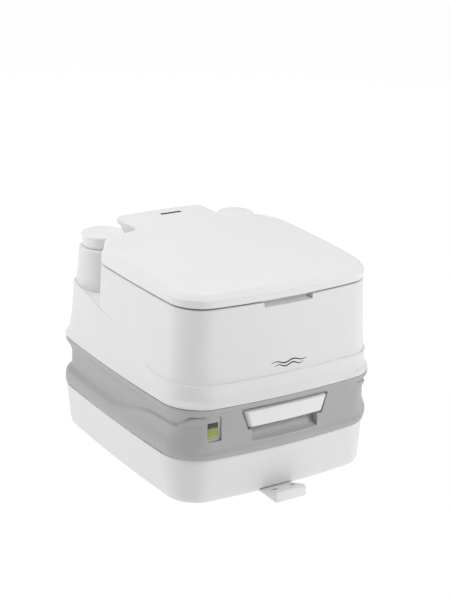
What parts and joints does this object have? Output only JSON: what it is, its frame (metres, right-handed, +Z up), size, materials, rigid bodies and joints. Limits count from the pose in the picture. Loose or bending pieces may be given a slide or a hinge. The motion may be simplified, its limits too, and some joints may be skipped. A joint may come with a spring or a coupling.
{
  "type": "portable toilet",
  "caption": "Portable two-tank toilet with lidded seat and flush-water tank over a detachable waste tank with slide valve and pour-out spout.",
  "frame": {"origin": "floor level, under the centre of the tank's rim outline", "axes": "+X to the right as seen by someone facing the toilet's front, +Y to the rear, +Z up"},
  "size_m": [0.342, 0.438, 0.313],
  "materials": {
    "tank_white": "fine moulded grain, off-white",
    "lid_white": "satin, off-white",
    "band_grey": "fine moulded grain, mid grey",
    "dark_plastic": "matt",
    "valve_plastic": "smooth",
    "flag_green": "smooth",
    "window_clear": "clear, slightly green",
    "seal_rubber": "matt black",
    "steel": "bright stainless",
    "bracket_grey": "pale grey"
  },
  "bodies": {
    "waste_tank": {"waste_tank_base": "tank_white", "waste_tank_top": "band_grey", "valve_base": "dark_plastic", "valve_cover": "dark_plastic", "valve_lip_seal": "seal_rubber", "valve_screw_1": "steel", "valve_screw_2": "steel", "valve_screw_3": "steel", "valve_screw_4": "steel", "level_window": "window_clear", "level_axle": "steel", "spout_collar": "dark_plastic", "latch_pin": "steel", "vent_spring": "steel", "front_bracket": "bracket_grey", "front_screw_left": "steel", "front_screw_right": "steel", "rear_bracket": "bracket_grey", "rear_screw_left": "steel", "rear_screw_right": "steel"},
    "valve": {"valve_blade": "valve_plastic", "valve_rod": "valve_plastic", "valve_handle": "lid_white"},
    "level_gauge": {"level_flag": "flag_green", "level_arm": "valve_plastic", "level_float": "tank_white"},
    "vent": {"vent_button": "dark_plastic", "vent_valve_disc": "dark_plastic", "vent_seal": "seal_rubber"},
    "spout": {"pour_spout": "band_grey"},
    "spout_seal": {"spout_cap_seal": "seal_rubber"},
    "spout_cap": {"spout_cap": "band_grey"},
    "latch": {"rear_latch": "band_grey"},
    "flush_unit": {"flush_tank": "tank_white", "hinge_pin_left": "steel", "hinge_pin_right": "steel", "suction_tube": "valve_plastic", "flush_hose": "valve_plastic", "flush_nozzle": "band_grey", "pump_body": "valve_plastic", "pump_bellows": "band_grey"},
    "filler_seal": {"filler_seal": "seal_rubber"},
    "filler_cap": {"filler_cap": "lid_white"},
    "pump": {"pump_knob": "lid_white"},
    "seat": {"seat": "lid_white", "seat_pad_1": "seal_rubber", "seat_pad_2": "seal_rubber", "seat_pad_3": "seal_rubber", "seat_pad_4": "seal_rubber"},
    "lid": {"lid": "lid_white", "lid_pad_left": "seal_rubber", "lid_pad_right": "seal_rubber"}
  },
  "joints": [
    {"name": "valve_pull", "type": "slide", "parent": "waste_tank", "child": "valve", "axis": [0, -1, 0], "range_m": [0, 0.093]},
    {"name": "gauge_swing", "type": "hinge", "parent": "waste_tank", "child": "level_gauge", "pos_m": [-0.117, -0.134, 0.105], "axis": [1, 0, 0], "range_deg": [0, 33]},
    {"name": "vent_press", "type": "slide", "parent": "waste_tank", "child": "vent", "axis": [0, 0, -1], "range_m": [0, 0.0045], "stiffness_N_per_m": 700, "springref_m": -0.002, "deforming": ["vent_spring"]},
    {"name": "spout_swing", "type": "hinge", "parent": "waste_tank", "child": "spout", "pos_m": [0.118, 0.15, 0.1], "axis": [0, 0, 1], "range_deg": [-90, 0]},
    {"name": "spout_cap_turn", "type": "hinge", "parent": "spout", "child": "spout_seal", "pos_m": [0.0636, 0.15, 0.116], "axis": [-1, 0, 0], "range_deg": [0, 540]},
    {"name": "spout_cap_off", "type": "slide", "parent": "spout_seal", "child": "spout_cap", "axis": [-1, 0, 0], "range_m": [0, 0.0135]},
    {"name": "latch_swing", "type": "hinge", "parent": "waste_tank", "child": "latch", "pos_m": [-0.05, 0.1886, 0.104], "axis": [-1, 0, 0], "range_deg": [-25, 0]},
    {"name": "unit_lift", "type": "slide", "parent": "waste_tank", "child": "flush_unit", "axis": [0, 0, 1], "range_m": [0, 0.12]},
    {"name": "filler_cap_turn", "type": "hinge", "parent": "flush_unit", "child": "filler_seal", "pos_m": [-0.1155, 0.1325, 0.298], "axis": [0, 0, 1], "range_deg": [0, 540]},
    {"name": "filler_cap_off", "type": "slide", "parent": "filler_seal", "child": "filler_cap", "axis": [0, 0, 1], "range_m": [0, 0.0135]},
    {"name": "pump_press", "type": "slide", "parent": "flush_unit", "child": "pump", "axis": [0, 0, -1], "range_m": [0, 0.018], "stiffness_N_per_m": 600, "springref_m": -0.003, "deforming": ["pump_bellows"]},
    {"name": "seat_hinge", "type": "hinge", "parent": "flush_unit", "child": "seat", "pos_m": [0, 0.162, 0.302], "axis": [-1, 0, 0], "range_deg": [0, 100]},
    {"name": "lid_hinge", "type": "hinge", "parent": "seat", "child": "lid", "pos_m": [0, 0.162, 0.302], "axis": [1, 0, 0], "range_deg": [-100, 0]}
  ],
  "couplings": [
    {"joint": "spout_cap_off", "follows": "spout_cap_turn", "m_per_rad": 0.0014324},
    {"joint": "filler_cap_off", "follows": "filler_cap_turn", "m_per_rad": 0.0014324}
  ]
}
